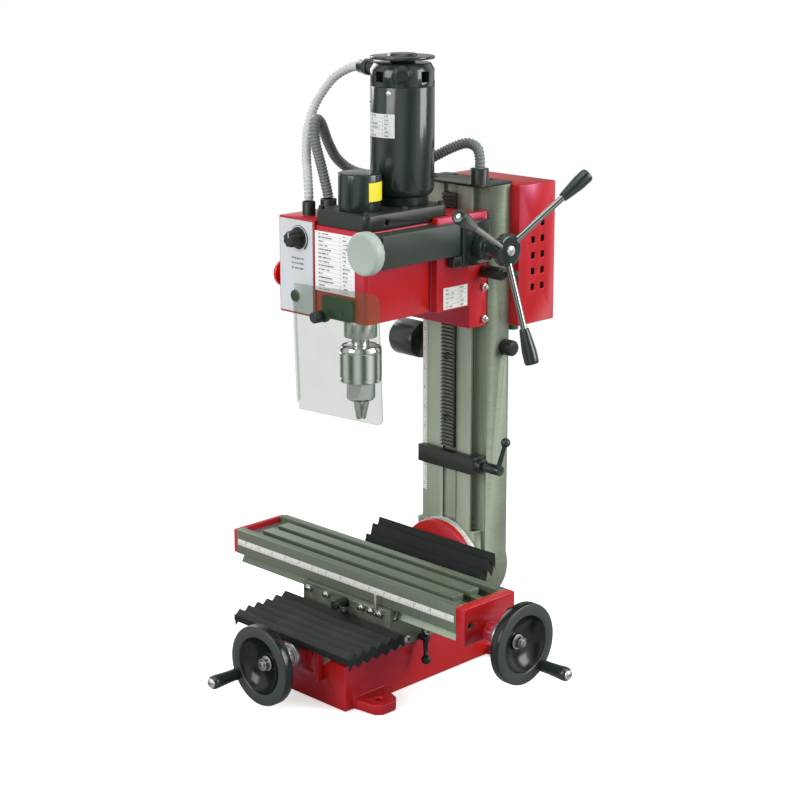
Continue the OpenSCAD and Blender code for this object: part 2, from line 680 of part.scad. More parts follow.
module feed_hub() color(black) {
  difference() {
    turn_x(70.4, feed_y, feed_z, [[0, 0], [16, 0], [16, 14], [12, 16], [12, 30], [17, 34],
      [20, 37], [20, 46.5], [18, 48], [0, 48]]);
    for (a = [38, -86, 154])
      translate([110, feed_y, feed_z]) rotate([a - 90, 0, 0]) rotate([0, 15, 0])
        translate([0, 0, 8]) cylinder(h = 20, r = 4.05);
  }
  color(steel) {
    cx(-30, 70.4, feed_y, feed_z, 8);
    along_x(-5, 15) translate([feed_y, feed_z]) gear2d(14, mod_r, 0);
    cx(118.4, 120.4, feed_y, feed_z, 6);
  }
}
module spokes() color(steel) for (a = [38, -86, 154])
  translate([110, feed_y, feed_z]) rotate([a - 90, 0, 0]) rotate([0, 15, 0])
    translate([0, 0, 8]) cylinder(h = spoke_len - 8 - 20, r = 4);
module grips() color(black) for (a = [38, -86, 154])
  translate([110, feed_y, feed_z]) rotate([a - 90, 0, 0]) rotate([0, 15, 0])
    translate([0, 0, 97]) rotate_extrude() polygon([[4.05, 0], [6, 0], [6.5, 4], [9, 26], [9, 41],
      [7.8, 44], [0, 44], [0, 15.3], [4.05, 15.3]]);
module fine_knob() color([0.5, 0.5, 0.5]) {
  cy(-42, -16, 58, 542.5, 5);
  turn_y(58, -54, 542.5, [[0, 1], [22, 0], [24.5, 1], [25.5, 3], [25.5, 12], [24, 14], [19, 14],
    [19, 19.5], [13, 21.6], [0, 21.6]]);
}

// ---------- spindle, gears and chuck ----------
module spindle() color(steel) {
  cz(428.7, head_z - 0.6, 0, 0, 20);
  cz(head_z - 0.7, 529, 0, 0, 17);
  cz(529, 612, 0, 0, 9.6);
  cz(530, 542, 0, 0, 14);
  translate([0, 0, 530]) linear_extrude(12) gear2d(34, 1.5, 0);
  cz(418, 429, 0, 0, 10.5);
  hex_z(612, 619, 0, 0, 11);
}
module idler() color(steel) {
  cz(513, 570, 0, 39, 6);
  translate([0, 39, 530]) linear_extrude(12) gear2d(18, 1.5, 10);
  translate([0, 39, 545.5]) linear_extrude(10) gear2d(50, 1, 0);
}
module rotor() color(steel) {
  cz(544, 755, 0, motor_y, 5);
  translate([0, motor_y, 543]) linear_extrude(15) gear2d(14, 1, 180 / 14);
  color([0.6, 0.35, 0.2]) cz(600, 700, 0, motor_y, 26);
  cz(704, 720, 0, motor_y, 13);
}
jaw_a0 = 12;                  // jaw's slant from the axis
module jaw_line(i) rotate([0, 0, i * 120 + 30]) translate([2.6, 0, 327.6]) rotate([0, jaw_a0, 0])
  children();
module chuck_body() color(steel) difference() {
  turn_z(0, 0, 0, [[0, 351], [15.5, 351], [17.6, 354], [17.6, 373.7], [21.8, 373.7],
    [21.8, 417], [10, 418], [0, 418]]);
  for (i = [0 : 2])
    jaw_line(i) translate([0, 0, -2]) cylinder(h = 80, r = 4);
  cz(350, 412, 0, 0, 7);
}
module chuck_sleeve() color(steel) difference() {
  turn_z(0, 0, 0, [[22.2, 374.2], [24.5, 374.2], [25.6, 375.5], [25.6, 414], [23.5, 418],
    [22.2, 418]]);
}
module jaw(i) color(steel) intersection() {
  jaw_line(i) cylinder(h = 62, r = 3.6);
  rotate([0, 0, i * 120 + 30]) translate([0.35, 0, 300]) linear_extrude(100)
    polygon([[0, 0], [60, 103.9], [60, -103.9]]);
}

base_casting();
angle_scale();
tilt_bolt();
y_bracket();
bellows_front();
bellows_rear();
saddle();
saddle_gibs();
lead_nuts();
table();
table_scale();
end_plates();
x_wheel();
x_screw();
x_handle();
y_wheel();
y_screw();
y_handle();
table_lock();
saddle_lock();
column();
rack();
column_scale();
top_plate();
electrics_box();
drive_board();
spring_cup();
spring_shaft();
stop_bar();
stop_lever();
head_casting();
motor_plate();
motor_shell();
motor_cap();
spindle_cap();
control_box();
face_plates();
feed_cover();
worm_box();
head_screws();
bearings();
guard_bracket();
conduit_motor();
conduit_column();
speed_knob();
stop_button();
guard();
head_lock();
feed_hub();
spokes();
grips();
fine_knob();
spindle();
idler();
rotor();
chuck_body();
chuck_sleeve();
jaw(0);  // jaw_a
jaw(1);  // jaw_b
jaw(2);  // jaw_c
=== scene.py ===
import math

import bmesh
import bpy
from mathutils import Matrix, Vector


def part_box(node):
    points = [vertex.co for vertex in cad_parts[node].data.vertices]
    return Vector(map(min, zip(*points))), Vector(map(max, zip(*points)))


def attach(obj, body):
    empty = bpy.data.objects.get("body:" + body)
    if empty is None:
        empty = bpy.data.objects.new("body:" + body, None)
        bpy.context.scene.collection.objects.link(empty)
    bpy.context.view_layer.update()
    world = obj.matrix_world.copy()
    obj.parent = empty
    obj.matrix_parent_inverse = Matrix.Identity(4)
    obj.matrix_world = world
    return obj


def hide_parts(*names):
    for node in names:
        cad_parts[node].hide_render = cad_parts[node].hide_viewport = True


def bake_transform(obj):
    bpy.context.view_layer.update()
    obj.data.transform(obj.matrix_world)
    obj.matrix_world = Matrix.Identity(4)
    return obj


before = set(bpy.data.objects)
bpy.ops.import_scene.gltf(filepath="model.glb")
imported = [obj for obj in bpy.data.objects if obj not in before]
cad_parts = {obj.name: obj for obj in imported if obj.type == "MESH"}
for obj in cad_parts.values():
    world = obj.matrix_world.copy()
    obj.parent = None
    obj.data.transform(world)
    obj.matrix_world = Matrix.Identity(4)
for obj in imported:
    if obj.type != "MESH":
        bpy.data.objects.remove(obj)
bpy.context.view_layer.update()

# ---------------------------------------------------------------- studio
# The floor is one pale sheet and the room round it is white. Four softboxes light the machine:
# broad ones behind on the right and left that the sides reflect, one in front and one overhead.
scene = bpy.context.scene
scene.view_settings.view_transform = "Standard"

lens = bpy.data.cameras.new("camera")
lens.lens = 84.56
lens.shift_y = -0.1
camera = bpy.data.objects.new("camera", lens)
camera.location = (1.575, -1.5189, 0.9374)
down, round_to_right = math.radians(12.6), math.radians(44.8)
camera.rotation_euler = (math.pi / 2 - down, 0, round_to_right)
scene.collection.objects.link(camera)
scene.camera = camera


def softbox(name, place, aim, size, power):
    """A rectangular area light at a place, turned towards its aim."""
    lamp = bpy.data.lights.new(name, "AREA")
    lamp.shape = "RECTANGLE"
    lamp.size, lamp.size_y = size
    lamp.energy = power
    holder = bpy.data.objects.new(name, lamp)
    holder.location = place
    holder.rotation_euler = (Vector(aim) - Vector(place)).to_track_quat("-Z", "Y").to_euler()
    scene.collection.objects.link(holder)


softbox("back_right_light", (2.5, 1.4, 1.4), (0, 0, 0.5), (1.4, 1.8), 70)
softbox("front_light", (-0.3, -2.7, 1.5), (0, 0, 0.35), (1.4, 1.5), 46)
softbox("top_light", (0.1, -0.2, 2.9), (0, 0, 0), (1.8, 1.8), 20)
softbox("back_left_light", (-2.7, 0.5, 1.5), (0, 0, 0.35), (1.4, 1.6), 30)

# What the camera sees of the room is plain white. What lights and mirrors in the machine is
# dimmer and falls in broad upright bands, as between the panels of a light tent.
room = bpy.data.worlds.new("room")
room.use_nodes = True
walls = room.node_tree.nodes["Background"]
walls.inputs["Color"].default_value = (1, 1, 1, 1)
looking = room.node_tree.nodes.new("ShaderNodeTexCoord").outputs["Generated"]
split = room.node_tree.nodes.new("ShaderNodeSeparateXYZ")
room.node_tree.links.new(looking, split.inputs[0])


def wall_math(operation, *values):
    """A Math step in the room's own nodes."""
    step = room.node_tree.nodes.new("ShaderNodeMath")
    step.operation = operation
    for socket, value in zip(step.inputs, values):
        if isinstance(value, float):
            socket.default_value = value
        else:
            room.node_tree.links.new(value, socket)
    return step.outputs[0]


panels, first_panel = 5.0, 0.6
swing, middle_strength, white_strength = 0.54, 0.60, 1.02
round_about = wall_math("ARCTAN2", split.outputs[1], split.outputs[0])
bands = wall_math("SINE", wall_math("MULTIPLY_ADD", round_about, panels, first_panel))
dim = wall_math("MULTIPLY_ADD", bands, swing, middle_strength)
seen = room.node_tree.nodes.new("ShaderNodeLightPath").outputs["Is Camera Ray"]
white = wall_math("MULTIPLY", seen, white_strength)
room.node_tree.links.new(wall_math("MAXIMUM", white, dim), walls.inputs["Strength"])
scene.world = room


class Value:
    """A value that runs through a finish's nodes; arithmetic on it adds Math nodes."""

    def __init__(self, finish, socket):
        self.finish = finish
        self.socket = socket

    def calc(self, operation, *others):
        values = dict(enumerate((self, *others)))
        return self.finish.node("ShaderNodeMath", {"operation": operation}, values)

    def __add__(self, other):
        return self.calc("ADD", other)

    __radd__ = __add__

    def __sub__(self, other):
        return self.calc("SUBTRACT", other)

    def __rsub__(self, other):
        return self.calc("MULTIPLY_ADD", -1.0, other)

    def __mul__(self, other):
        return self.calc("MULTIPLY", other)

    __rmul__ = __mul__

    def __truediv__(self, other):
        return self.calc("DIVIDE", other)

    def __mod__(self, other):
        return self.calc("FLOORED_MODULO", other)

    def __lt__(self, other):
        return self.calc("LESS_THAN", other)

    def __gt__(self, other):
        return self.calc("GREATER_THAN", other)

    def colours(self, low, high):
        """The colour that lies this far from low to high."""
        inputs = {0: self, 6: self.finish.rgba(low), 7: self.finish.rgba(high)}
        return self.finish.node("ShaderNodeMix", {"data_type": "RGBA"}, inputs, 2)


class Finish:
    """One procedural material of the machine, built on a Principled shader."""

    def __init__(self, name, **fixed):
        self.material = bpy.data.materials.new(name)
        self.material.use_nodes = True
        self.tree = self.material.node_tree
        self.skin = self.tree.nodes["Principled BSDF"]
        for socket, value in fixed.items():
            self.skin.inputs[socket.replace("_", " ")].default_value = value

    @staticmethod
    def rgba(colour):
        return (*colour, 1) if isinstance(colour, tuple) and len(colour) == 3 else colour

    def node(self, kind, settings, inputs, output=0):
        made = self.tree.nodes.new(kind)
        for setting, value in settings.items():
            setattr(made, setting, value)
        for socket, value in inputs.items():
            self.feed(made.inputs[socket], value)
        return Value(self, made.outputs[output])

    def feed(self, socket, value):
        if isinstance(value, Value):
            self.tree.links.new(value.socket, socket)
        else:
            socket.default_value = value

    def wear(self, colour=None, rough=None, metal=None, alpha=None):
        named = {"Base Color": colour, "Roughness": rough, "Metallic": metal, "Alpha": alpha}
        for socket, value in named.items():
            if value is not None:
                self.feed(self.skin.inputs[socket], self.rgba(value))

    def place(self):
        return self.node("ShaderNodeTexCoord", {}, {}, "Object")

    def axes(self):
        """X, Y and Z of the piece in millimetres."""
        parts = [self.node("ShaderNodeSeparateXYZ", {}, {0: self.place()}, k) for k in range(3)]
        return [part * 1000.0 for part in parts]

    def noise(self, scale, detail=2.0, stretch=(1, 1, 1)):
        at = self.node("ShaderNodeMapping", {}, {"Vector": self.place(), "Scale": stretch})
        inputs = {"Vector": at, "Scale": scale, "Detail": detail}
        return self.node("ShaderNodeTexNoise", {}, inputs)

    def bump(self, height, depth):
        """Raises the surface by up to depth, in millimetres."""
        inputs = {"Height": height, "Distance": depth / 1000, "Strength": 1.0}
        self.feed(self.skin.inputs["Normal"], self.node("ShaderNodeBump", {}, inputs))


floor_mesh = bpy.data.meshes.new("floor")
sheet = bmesh.new()
bmesh.ops.create_circle(sheet, cap_ends=True, segments=96, radius=1.0)
sheet.to_mesh(floor_mesh)
sheet.free()
floor = bpy.data.objects.new("floor", floor_mesh)
hair_below = 0.0004
floor.location.z = -hair_below
scene.collection.objects.link(floor)
paper = Finish("paper", Specular_IOR_Level=0.0)
paper.skin.inputs["Emission Color"].default_value = (1, 1, 1, 1)
in_view = paper.node("ShaderNodeLightPath", {}, {}, "Is Camera Ray")
glow = 0.5
paper.wear(in_view.colours((0.42, 0.42, 0.42), (0.92, 0.92, 0.92)), 0.9)
paper.feed(paper.skin.inputs["Emission Strength"], in_view * glow)
floor_mesh.materials.append(paper.material)

# ---------------------------------------------------------------- base casting
# The foot is one iron casting with four bolted lugs, a dovetail on its top and a round upstand
# that the column tilts on. It is painted red; the dovetail is scraped bare.


def lighter(colour, share):
    return tuple(min(1.0, c * share) for c in colour)


def enamel(name, colour, rough, grain, depth, drift=0.12, **fixed):
    """Sprayed paint or moulded plastic: slow change of tone and a fine skin."""
    finish = Finish(name, **fixed)
    slow = finish.noise(14, 3)
    skin = finish.noise(grain, 2)
    tone = slow * 0.7 + skin * 0.3
    finish.wear(
        tone.colours(lighter(colour, 1 - drift), lighter(colour, 1 + drift)),
        slow * 0.14 + (rough - 0.07),
    )
    finish.bump(skin, depth)
    return finish


def tooled(name, colour, rough, metal, lay, depth=0.02, drift=0.12):
    """Metal that a cutter or grinder left with fine lines; lay stretches them."""
    finish = Finish(name)
    lines = finish.noise(1.0, 3, lay)
    slow = finish.noise(17, 4)
    tone = lines * 0.62 + slow * 0.38
    shade = tone.colours(lighter(colour, 1 - 2 * drift), lighter(colour, 1 + 2 * drift))
    finish.wear(shade, lines * 0.16 + slow * 0.12 + (rough - 0.14), metal)
    finish.bump(lines, depth)
    return finish


red = (0.44, 0.011, 0.006)
red_paint = enamel("red_enamel", red, 0.3, 750, 0.02, 0.10, Coat_Weight=0.08,
                   Coat_Roughness=0.16, Specular_IOR_Level=0.65)
red_paint.skin.inputs["Specular Tint"].default_value = (1.0, 0.50, 1.0, 1)

mm = 0.001
same_spot = 0.004
same_plane = math.radians(0.6)


def copy_of(node):
    """A node's own shape as a clean form in millimetres, joined where its facets meet."""
    form = bmesh.new()
    form.from_mesh(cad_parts[node].data)
    bmesh.ops.scale(form, vec=(1 / mm, 1 / mm, 1 / mm), verts=form.verts)
    bmesh.ops.remove_doubles(form, verts=form.verts, dist=same_spot)
    bmesh.ops.dissolve_limit(
        form, angle_limit=same_plane, verts=form.verts, edges=form.edges
    )
    for face in form.faces:
        face.material_index = 0
    return form


def piece(name, form, body, finishes, stands_for=(), round_by=0.0, crease=38, steps=2):
    """Makes a form into a finished piece that rides on a body, its edges rounded or creased."""
    bmesh.ops.scale(form, vec=(mm, mm, mm), verts=form.verts)
    for face in form.faces:
        face.smooth = True
    if not round_by:
        for edge in form.edges:
            edge.smooth = edge.calc_face_angle(0) < math.radians(crease)
    mesh = bpy.data.meshes.new(name)
    form.to_mesh(mesh)
    form.free()
    for finish in finishes if isinstance(finishes, list) else [finishes]:
        mesh.materials.append(finish.material)
    made = bpy.data.objects.new(name, mesh)
    scene.collection.objects.link(made)
    if round_by:
        edge = made.modifiers.new("edges", "BEVEL")
        edge.width = round_by * mm
        edge.segments = steps
        edge.limit_method = "ANGLE"
        edge.angle_limit = math.radians(crease)
        edge.use_clamp_overlap = False
        edge.harden_normals = True
    if body:
        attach(made, body)
    if stands_for:
        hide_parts(*stands_for)
    return made


def dress(node, body, finishes, round_by=0.5, crease=38, paint=None, steps=2):
    """A node shown in its own shape with rounded edges; paint picks each face's finish."""
    form = copy_of(node)
    if paint:
        form.normal_update()
        for face in form.faces:
            face.material_index = paint(face.calc_center_median(), face.normal)
    return piece(
        node + "_skin", form, body, finishes, [node], round_by, crease, steps
    )


dovetail_top, dovetail_half, dovetail_end = 57.5, 56, 131
ground_iron = tooled("ground_iron", (0.30, 0.345, 0.265), 0.36, 0.55, (40, 900, 900), 0.015)
bright_steel = tooled("bright_steel", (0.62, 0.62, 0.60), 0.3, 0.95, (260, 260, 900), 0.01)
dress(
    "base_casting", "base", [red_paint, ground_iron], 1.6, 30,
    lambda at, out: int(at.z > dovetail_top and abs(at.x) < dovetail_half
                        and at.y < dovetail_end),
)
dress("y_bracket", "base", red_paint, 1.0)
dress("tilt_bolt", "base", bright_steel, 0.7)


def rod(form, start, end, r0, r1=None, sides=40):
    """A round bar or cone between two points, both ends closed."""
    a, b = Vector(start), Vector(end)
    turn = (b - a).to_track_quat("Z", "Y").to_matrix().to_4x4()
    place = Matrix.Translation((a + b) / 2) @ turn
    bmesh.ops.create_cone(
        form, cap_ends=True, segments=sides, radius1=r0, radius2=r0 if r1 is None else r1,
        depth=(b - a).length, matrix=place,
    )


def block(form, low, high):
    """A rectangular bar between two corners."""
    a, b = Vector(low), Vector(high)
    place = Matrix.Translation((a + b) / 2) @ Matrix.Diagonal((*(b - a), 1))
    bmesh.ops.create_cube(form, size=1, matrix=place)


# ---------------------------------------------------------------- tilt scale
# A thin printed arc is glued round the upstand's rim. It is ruled every degree, with a longer
# rule at five and ten degrees on both sides of zero.
ink = (0.015, 0.015, 0.018)
paper_white = (0.74, 0.75, 0.70)


def ruled(name, ground, measure, pitch, width):
    """Printed rules on a strip; measure gives (distance along, height share 0 to 1)."""
    finish = Finish(name, Specular_IOR_Level=0.4)
    along, up = measure(finish)
    start = along + width / 2
    fine = (start % pitch < width) * (up < 0.42)
    middle = (start % (5 * pitch) < width) * (up < 0.62)
    long = (start % (10 * pitch) < width * 1.3) * (up < 0.82)
    mark = fine.calc("MAXIMUM", middle).calc("MAXIMUM", long)
    smudge = finish.noise(60, 3)
    clean = smudge.colours(lighter(ground, 0.86), lighter(ground, 1.1))
    finish.wear(mark.colours(clean, ink), smudge * 0.2 + 0.32)
    return finish


full_turn = 360.0
stud_height, arc_front, arc_width = 105.0, 141.0, 8.8


def tilt_degrees(finish):
    """Degrees round the tilt stud, kept above zero, and the share across the arc."""
    x, y, z = finish.axes()
    degrees = x.calc("ARCTAN2", z - stud_height) * math.degrees(1) + full_turn
    return degrees, (y - arc_front) / arc_width


dress("angle_scale", "base", ruled("tilt_rules", paper_white, tilt_degrees, 1.0, 0.28),
      0)

# ---------------------------------------------------------------- bellows
# Two way covers of black rubber cloth are folded in pleats and held by thin strips at their
# ends. They keep chips off the dovetail and close up as the saddle comes near.
cloth = Finish("rubber_cloth", Specular_IOR_Level=0.22)
threads = 5.2
cross, along, _ = cloth.axes()
weave = (cross * threads).calc("SINE") * (along * threads).calc("SINE")
slow = cloth.noise(22, 4)
cloth.wear(slow.colours((0.006, 0.008, 0.007), (0.014, 0.018, 0.016)), slow * 0.25 + 0.5)
cloth.bump(weave * 0.5 + slow, 0.12)


def bellows(node):
    """A pleated cover with an uneven sag, free between its ends, baked in place on no body."""
    form = copy_of(node)
    for cut in range(-98, 100, 6):
        everything = [*form.verts, *form.edges, *form.faces]
        bmesh.ops.bisect_plane(
            form, geom=everything, plane_co=(cut, 0, 0), plane_no=(1, 0, 0), dist=0.001
        )
    low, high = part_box(node)
    front, length = low.y / mm, (high.y - low.y) / mm
    half_width, sag, ripple, sway = 102, 0.9, 0.55, 0.8
    for vert in form.verts:
        share = max(0.0, min(1.0, (vert.co.y - front) / length))
        free = 4 * share * (1 - share)
        vert.co.z += free * (ripple * math.sin(vert.co.x / 17 + 7 * share)
                             - sag * (1 - abs(vert.co.x) / half_width))
        vert.co.y += free * sway * math.sin(vert.co.x / 29 + 4 * share)
    made = piece(node + "_skin", form, None, cloth, [node], 0.45, 30)
    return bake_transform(made)


bellows("bellows_front")
bellows("bellows_rear")

# ---------------------------------------------------------------- saddle
# The saddle is a machined iron block that slides on the base and carries the table's dovetail.
# Rows of grub screws with lock nuts press its gib strips, and a pointer reads the table's scale.
side_iron = tooled("milled_iron", (0.160, 0.190, 0.140), 0.42, 0.5, (700, 700, 60), 0.02)
dress("saddle", "saddle", side_iron, 0.7)
dress("saddle_gibs", "saddle", bright_steel, 0.5)
bronze = tooled("bronze", (0.55, 0.36, 0.12), 0.38, 0.9, (500, 500, 500))
dress("lead_nuts", "saddle", bronze, 0.5)

black_paint = enamel("black_enamel", (0.014, 0.020, 0.016), 0.36, 900, 0.03, 0.25,
                     Specular_IOR_Level=0.4)
moulded = enamel("moulded_black", (0.011, 0.016, 0.013), 0.42, 1100, 0.02, 0.25,
                 Specular_IOR_Level=0.4)
slots = bmesh.new()
screw_r, half_slot = 2.0, 1.8
for x in (-65, -33, 29, 45.4, 60):
    rod(slots, (x, -33.2, 101), (x, -33.9, 101), screw_r)
    block(slots, (x - half_slot, -34.1, 100.7), (x + half_slot, -33.4, 101.3))
for y in (-19.7, -1.4, 33.5, 60):
    rod(slots, (82.7, y, 67), (83.4, y, 67), screw_r)
    block(slots, (83.0, y - half_slot, 66.7), (83.6, y + half_slot, 67.3))
piece("grub_screw_slots", slots, "saddle", black_paint)

dress("table_lock", "table_lock", moulded, 0.6)
dress("saddle_lock", "saddle_lock", moulded, 0.6)

# ---------------------------------------------------------------- table
# The table is planed from one iron casting, with three T-slots along its top and a shallow
# coolant trough across each end. Red end plates carry the leadscrew's bearings.
top_iron = tooled("planed_iron", (0.150, 0.190, 0.135), 0.4, 0.5, (14, 620, 620), 0.012, 0.1)
dress("table", "table", [top_iron, side_iron], 0.5, 38,
      lambda at, out: int(abs(out.z) < 0.5 and (at.y < -20 or at.y > 65)))
dress("end_plates", "table", red_paint, 1.0)
table_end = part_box("table")[1].x / mm
scale_low, scale_high = (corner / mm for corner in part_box("table_scale"))
scale_mid = (scale_low.x + scale_high.x) / 2
inch, tenth, rule_width = 25.4, 2.54, 0.4
above_zero = 1016.0


def table_millimetres(finish):
    """Distance along the table from its middle, kept above zero, and the share up."""
    x, _, z = finish.axes()
    return x - scale_mid + above_zero, (z - scale_low.z) / (scale_high.z - scale_low.z)


table_rules = ruled("table_rules", paper_white, table_millimetres, tenth, rule_width)
dress("table_scale", "table", table_rules, 0)


printer_ink = enamel("printer_ink", ink, 0.45, 400, 0.0)


def figures(name, texts, body, size, depth):
    """Ink numerals that face the front: texts gives (numeral, place in millimetres)."""
    turn = Matrix.Rotation(math.radians(90), 4, "X")
    form = bmesh.new()
    for text, place in texts:
        curve = bpy.data.curves.new("numeral", "FONT")
        curve.body = text
        curve.size = size
        curve.align_x = "CENTER"
        curve.extrude = depth
        curve.resolution_u = 2
        holder = bpy.data.objects.new("numeral", curve)
        scene.collection.objects.link(holder)
        bpy.context.view_layer.update()
        mesh = bpy.data.meshes.new_from_object(
            holder.evaluated_get(bpy.context.evaluated_depsgraph_get())
        )
        mesh.transform(Matrix.Translation(Vector(place)) @ turn)
        form.from_mesh(mesh)
        bpy.data.objects.remove(holder)
        bpy.data.curves.remove(curve)
    return piece(name, form, body, printer_ink)


figure_depth = 0.05
figures(
    "table_scale_figures",
    [(str(abs(n)), (scale_mid + n * inch + 2.6, scale_low.y + 0.02, scale_low.z + 4.2))
     for n in range(-7, 8)],
    "table", 4.4, figure_depth,
)


def cap_screws(name, spots, body, r, height):
    """Socket cap screws: spots gives (seat, direction the head points) in millimetres."""
    form = bmesh.new()
    for seat, way in spots:
        seat, way = Vector(seat), Vector(way).normalized()
        top = seat + way * height
        rod(form, seat - way * 0.4, top, r)
        rim = max((f for f in form.faces if (f.calc_center_median() - top).length < 0.01),
                  key=lambda f: f.calc_area())
        bmesh.ops.inset_region(form, faces=[rim], thickness=r * 0.42, use_even_offset=True)
        bmesh.ops.translate(form, verts=rim.verts, vec=-way * height * 0.6)
    return piece(name, form, body, black_oxide, (), 0.0, 50)


black_oxide = tooled("black_oxide", (0.055, 0.055, 0.058), 0.34, 0.8, (500, 500, 500))
screw_seat = table_end + 9.6
cap_screws("end_plate_screws", [((screw_seat, y, 117), (1, 0, 0)) for y in (-11, 56)],
           "table", 4.0, 3.0)

# ---------------------------------------------------------------- handwheels
# Both leadscrews end in a dished black wheel, turned and polished, that is held by a hex nut.
# Behind each sits a satin dial ruled in hundredths; the crank handle turns on its own screw.
chrome = tooled("chrome", (0.80, 0.81, 0.82), 0.16, 1.0, (90, 90, 90), 0.002, 0.03)
gloss_black = enamel("gloss_black", (0.016, 0.026, 0.022), 0.2, 500, 0.008, 0.3,
                     Coat_Weight=0.15, Specular_IOR_Level=0.42)


def lathe(form, start, way, outline, steps=96):
    """Spins an outline of (radius, distance) pairs round an axis into a closed solid."""
    start, way = Vector(start), Vector(way).normalized()
    side = way.orthogonal().normalized()
    verts = [form.verts.new(start + way * d + side * r) for r, d in outline]
    edges = [form.edges.new(pair) for pair in zip(verts, verts[1:])]
    before = set(form.verts) - set(verts)
    bmesh.ops.spin(
        form, geom=[*verts, *edges], cent=start, axis=way, angle=math.tau, steps=steps,
        use_merge=True,
    )
    mine = [v for v in form.verts if v not in before]
    bmesh.ops.remove_doubles(form, verts=mine, dist=0.002)
    mine = {f for v in form.verts if v not in before for f in v.link_faces}
    bmesh.ops.recalc_face_normals(form, faces=list(mine))


wheel_outline = [
    (5.05, -16), (11.2, -16), (12.4, -15), (15, -9.4), (15.1, -1), (33, 12), (36, 9.6),
    (40, 8.6), (46.6, 8.5), (48, 9.1), (48.5, 10.4), (48.5, 19.6), (48.1, 20.9), (47, 21.5),
    (36.4, 21.5), (34.8, 20.9), (33.6, 19.4), (32.7, 17.1), (24, 12), (10.9, 4.9), (9.8, 5.2),
    (9.5, 6.2), (9.5, 8), (5.05, 8), (5.05, -16),
]


def dial_rules(axis_along, centre):
    """Measures a dial: degrees round its axis and the share of ten millimetres along it."""
    def measure(finish):
        parts = finish.axes()
        flat = [parts[k] - centre[k] for k in range(3) if k != axis_along]
        angle = flat[0].calc("ARCTAN2", flat[1]) * math.degrees(1) + full_turn
        depth = parts[axis_along] - centre[axis_along]
        return angle, depth.calc("ABSOLUTE") / 10.0
    return measure


wheel_black = enamel("wheel_black", (0.006, 0.010, 0.008), 0.19, 500, 0.006, 0.3,
                     Specular_IOR_Level=0.36)
rim_satin = enamel("rim_satin", (0.026, 0.036, 0.030), 0.38, 600, 0.01, 0.12)


def handwheel(which, centre, way, node, wheel_body, handle_node, handle_body, crank, dial):
    """A wheel with its dial, nut and crank; dial gives (far end, near end, radius)."""
    centre, way, crank = Vector(centre), Vector(way), Vector(crank)
    bore = 5.05
    form = bmesh.new()
    lathe(form, centre, way, wheel_outline)
    for face in form.faces:
        spot = face.calc_center_median() - centre
        ring = spot.dot(way) > 20.9 and (spot - way * spot.dot(way)).length > 35
        face.material_index = int(ring)
    piece(which + "_handwheel", form, wheel_body, [wheel_black, rim_satin],
          [node], 0.0, 60)
    far, near, r = dial
    form = bmesh.new()
    lathe(form, centre, way, [
        (bore, far), (r - 0.8, far), (r, far + 0.8), (r, near - 3.4), (r - 0.4, near - 3),
        (r - 0.4, near - 2.6), (r, near - 2.2), (r, near - 0.6), (r - 0.6, near), (bore, near),
        (bore, far),
    ])
    axis = 0 if abs(way.x) > 0.5 else 1
    zero = centre + way * far
    rules = ruled(which + "_dial_rules", (0.55, 0.56, 0.55), dial_rules(axis, zero), 3.6, 0.9)
    rules.wear(None, None, 0.85)
    piece(which + "_dial", form, wheel_body, rules, (), 0.0, 50)
    form = bmesh.new()
    ridges = 90
    for turn in range(ridges):
        spoke = Matrix.Rotation(turn * math.tau / ridges, 3, way)
        out = spoke @ way.orthogonal().normalized()
        rod(form, centre + out * (r - 0.5) + way * (near - 2.1),
            centre + out * (r - 0.5) + way * (near - 0.8), 0.42, sides=5)
    piece(which + "_dial_knurl", form, wheel_body, bright_steel)
    form = bmesh.new()
    rod(form, centre + way * 8.02, centre + way * 9.3, 9.0)
    rod(form, centre + way * 9.2, centre + way * 15.5, 7.7, sides=6)
    rod(form, centre + way * 15.3, centre + way * 17.5, 5.0, 4.3)
    piece(which + "_wheel_nut", form, wheel_body, bright_steel, (), 0.5, 30)
    foot = centre + crank
    form = bmesh.new()
    lathe(form, foot, way, [
        (3.06, 22), (5.4, 22), (6.6, 22.6), (7.3, 24.4), (7.1, 29), (7.2, 36), (7.8, 48),
        (8.4, 56), (8.3, 59), (7.7, 61), (6.4, 61.9), (3.06, 62), (3.06, 22),
    ])
    piece(which + "_crank_grip", form, handle_body, gloss_black,
          [handle_node], 0.0, 50)
    form = bmesh.new()
    rod(form, foot + way * 12, foot + way * 62.1, 2.9)
    lathe(form, foot, way, [(0, 62), (5.7, 62), (5.7, 63.6), (4.6, 64.7), (0, 64.8)], 48)
    piece(which + "_crank_screw", form, handle_body, bright_steel, (), 0.0, 50)
    form = bmesh.new()
    corner = way.cross(Vector((0, 0, 1))).normalized() * 4.4 + Vector((0, 0, 0.6))
    low = foot + way * 64.2 - corner
    high = foot + way * 64.95 + corner
    block(form, [min(p) for p in zip(low, high)], [max(p) for p in zip(low, high)])
    piece(which + "_crank_slot", form, handle_body, black_oxide)


